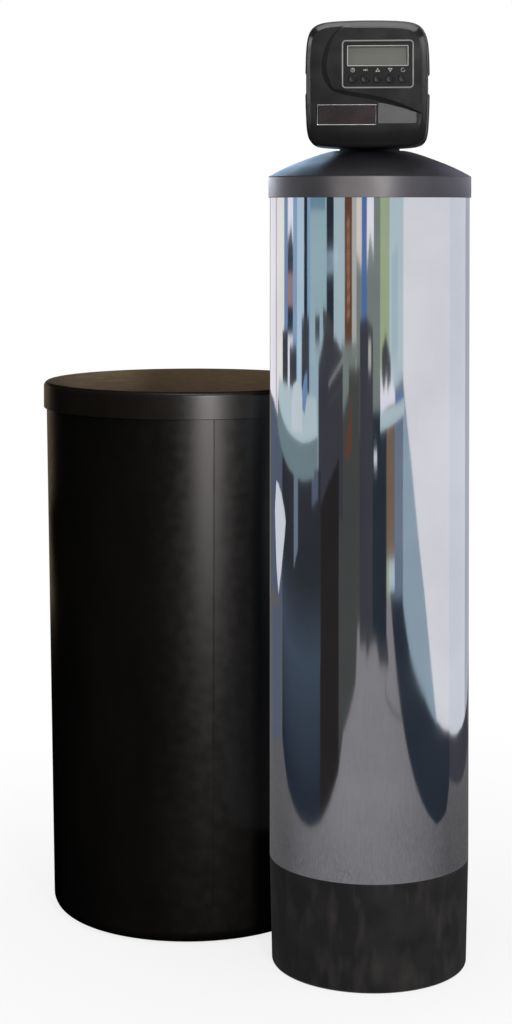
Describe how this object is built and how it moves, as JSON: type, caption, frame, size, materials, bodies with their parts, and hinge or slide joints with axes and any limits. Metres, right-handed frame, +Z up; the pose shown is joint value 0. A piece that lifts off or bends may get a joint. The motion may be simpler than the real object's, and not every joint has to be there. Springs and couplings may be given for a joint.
{
  "type": "water softener",
  "caption": "Two-tank water softener: polished resin tank with a metered control valve and display, and a round black brine tank with a lift-off lid.",
  "frame": {"origin": "on the resin tank's axis at the floor, the middle of its base", "axes": "+Z up along the resin tank, -Y the way the display faces, +X to the right of the display"},
  "size_m": [0.7093, 0.6705, 1.44],
  "materials": {
    "base_black": "moulded black boot, slightly dusty",
    "vessel_grey": "wound glass-fibre vessel",
    "polished_steel": "mirror-polished stainless sheet",
    "dome_grey": "satin dark grey moulding",
    "pipe_white": "white pipe plastic",
    "gravel": "washed gravel",
    "resin": "amber resin beads",
    "seal_rubber": "black seal rubber",
    "valve_black": "glass-filled black moulding",
    "spacer_cream": "cream moulding",
    "piston_grey": "smooth grey piston",
    "rod_steel": "drawn steel",
    "gear_white": "natural acetal",
    "brass": "turned brass",
    "board_green": "coated circuit board",
    "lcd_grey": "grey-green display",
    "cover_black": "semi-gloss black moulding",
    "overlay_black": "smooth black panel",
    "bezel_grey": "satin light grey",
    "lens_clear": "clear window",
    "badge_dark": "bare dark plate",
    "badge_chrome": "bright frame",
    "button_black": "soft black buttons",
    "injector_red": "coloured nozzle",
    "meter_blue": "blue moulding",
    "tail_grey": "dark grey pipe plastic",
    "tub_black": "satin black polyethylene",
    "float_cream": "foamed float"
  },
  "bodies": {
    "softener": {"tank_base": "base_black", "mineral_tank": "vessel_grey", "steel_jacket": "polished_steel", "dome_cover": "dome_grey", "riser_tube": "pipe_white", "lower_distributor": "pipe_white", "upper_basket": "pipe_white", "brine_well": "pipe_white", "float_valve": "pipe_white", "pickup_tube": "pipe_white", "gravel_bed": "gravel", "resin_bed": "resin", "tank_oring": "seal_rubber", "stack_seals": "seal_rubber", "port_orings": "seal_rubber", "valve_body": "valve_black", "drive_cap": "valve_black", "injector_cap": "valve_black", "port_nuts": "valve_black", "drive_bracket": "valve_black", "gear_plate": "valve_black", "brine_fitting": "valve_black", "overflow_fitting": "valve_black", "overflow_nut": "valve_black", "stack_spacers": "spacer_cream", "drive_motor": "rod_steel", "gear_pins": "brass", "circuit_board": "board_green", "lcd_module": "lcd_grey", "injector": "injector_red", "meter_cage": "meter_blue", "inlet_tail": "tail_grey", "outlet_tail": "tail_grey", "brine_tank": "tub_black", "salt_grid": "tub_black", "grid_legs": "tub_black"},
    "cover": {"front_cover": "cover_black", "display_overlay": "overlay_black", "display_bezel": "bezel_grey", "display_lens": "lens_clear", "badge_plate": "badge_dark", "badge_frame": "badge_chrome"},
    "button_clock": {"button_clock": "button_black"},
    "button_next": {"button_next": "button_black"},
    "button_up": {"button_up": "button_black"},
    "button_down": {"button_down": "button_black"},
    "button_start": {"button_start": "button_black"},
    "piston": {"main_piston": "piston_grey", "piston_rod": "rod_steel"},
    "main_gear": {"main_gear": "gear_white"},
    "reduction_gear_1": {"reduction_gear_1": "gear_white"},
    "reduction_gear_2": {"reduction_gear_2": "gear_white"},
    "motor_pinion": {"motor_pinion": "brass"},
    "drain_elbow": {"drain_elbow": "valve_black"},
    "refill_elbow": {"refill_elbow": "valve_black"},
    "meter_turbine": {"meter_turbine": "meter_blue"},
    "brine_lid": {"brine_lid": "tub_black"},
    "well_cap": {"well_cap": "tub_black"},
    "float": {"float_rod": "rod_steel", "float": "float_cream"}
  },
  "joints": [
    {"name": "lid_lift", "type": "slide", "parent": "softener", "child": "brine_lid", "axis": [0, 0, 1], "range_m": [0, 0.3]},
    {"name": "well_cap_lift", "type": "slide", "parent": "softener", "child": "well_cap", "axis": [0, 0, 1], "range_m": [0, 0.05]},
    {"name": "float_rise", "type": "slide", "parent": "softener", "child": "float", "axis": [0, 0, 1], "range_m": [0, 0.015]},
    {"name": "cover_pull", "type": "slide", "parent": "softener", "child": "cover", "axis": [0, -1, 0], "range_m": [0, 0.12]},
    {"name": "piston_slide", "type": "slide", "parent": "softener", "child": "piston", "axis": [0, 1, 0], "range_m": [0, 0.03]},
    {"name": "main_gear_turn", "type": "hinge", "parent": "softener", "child": "main_gear", "pos_m": [0, -0.06, 1.31], "axis": [0, 1, 0], "range_deg": [0, 1081]},
    {"name": "reduction_1_turn", "type": "hinge", "parent": "softener", "child": "reduction_gear_1", "pos_m": [-0.02598, -0.06, 1.325], "axis": [0, 1, 0], "range_deg": [-3242, 0]},
    {"name": "reduction_2_turn", "type": "hinge", "parent": "softener", "child": "reduction_gear_2", "pos_m": [-0.03368, -0.066, 1.34614], "axis": [0, 1, 0], "range_deg": [0, 6482]},
    {"name": "pinion_turn", "type": "hinge", "parent": "softener", "child": "motor_pinion", "pos_m": [-0.04493, -0.072, 1.36563], "axis": [0, 1, 0], "range_deg": [-12962, 0]},
    {"name": "turbine_spin", "type": "hinge", "parent": "softener", "child": "meter_turbine", "pos_m": [-0.041, 0.038, 1.298], "axis": [0, 1, 0], "continuous": true},
    {"name": "drain_swivel", "type": "hinge", "parent": "softener", "child": "drain_elbow", "pos_m": [0.024, 0.012, 1.37], "axis": [0, 0, 1], "range_deg": [-90, 0]},
    {"name": "refill_swivel", "type": "hinge", "parent": "softener", "child": "refill_elbow", "pos_m": [0, 0.033, 1.37], "axis": [0, 0, 1], "range_deg": [0, 45]},
    {"name": "button_clock_press", "type": "slide", "parent": "cover", "child": "button_clock", "axis": [0, 1, 0], "range_m": [0, 0.0012], "stiffness_N_per_m": 800},
    {"name": "button_next_press", "type": "slide", "parent": "cover", "child": "button_next", "axis": [0, 1, 0], "range_m": [0, 0.0012], "stiffness_N_per_m": 800},
    {"name": "button_up_press", "type": "slide", "parent": "cover", "child": "button_up", "axis": [0, 1, 0], "range_m": [0, 0.0012], "stiffness_N_per_m": 800},
    {"name": "button_down_press", "type": "slide", "parent": "cover", "child": "button_down", "axis": [0, 1, 0], "range_m": [0, 0.0012], "stiffness_N_per_m": 800},
    {"name": "button_start_press", "type": "slide", "parent": "cover", "child": "button_start", "axis": [0, 1, 0], "range_m": [0, 0.0012], "stiffness_N_per_m": 800}
  ],
  "couplings": [
    {"joint": "main_gear_turn", "follows": "piston_slide", "rad_per_m": 628.32},
    {"joint": "reduction_1_turn", "follows": "piston_slide", "rad_per_m": -1885},
    {"joint": "reduction_2_turn", "follows": "piston_slide", "rad_per_m": 3769.9},
    {"joint": "pinion_turn", "follows": "piston_slide", "rad_per_m": -7539.8}
  ]
}
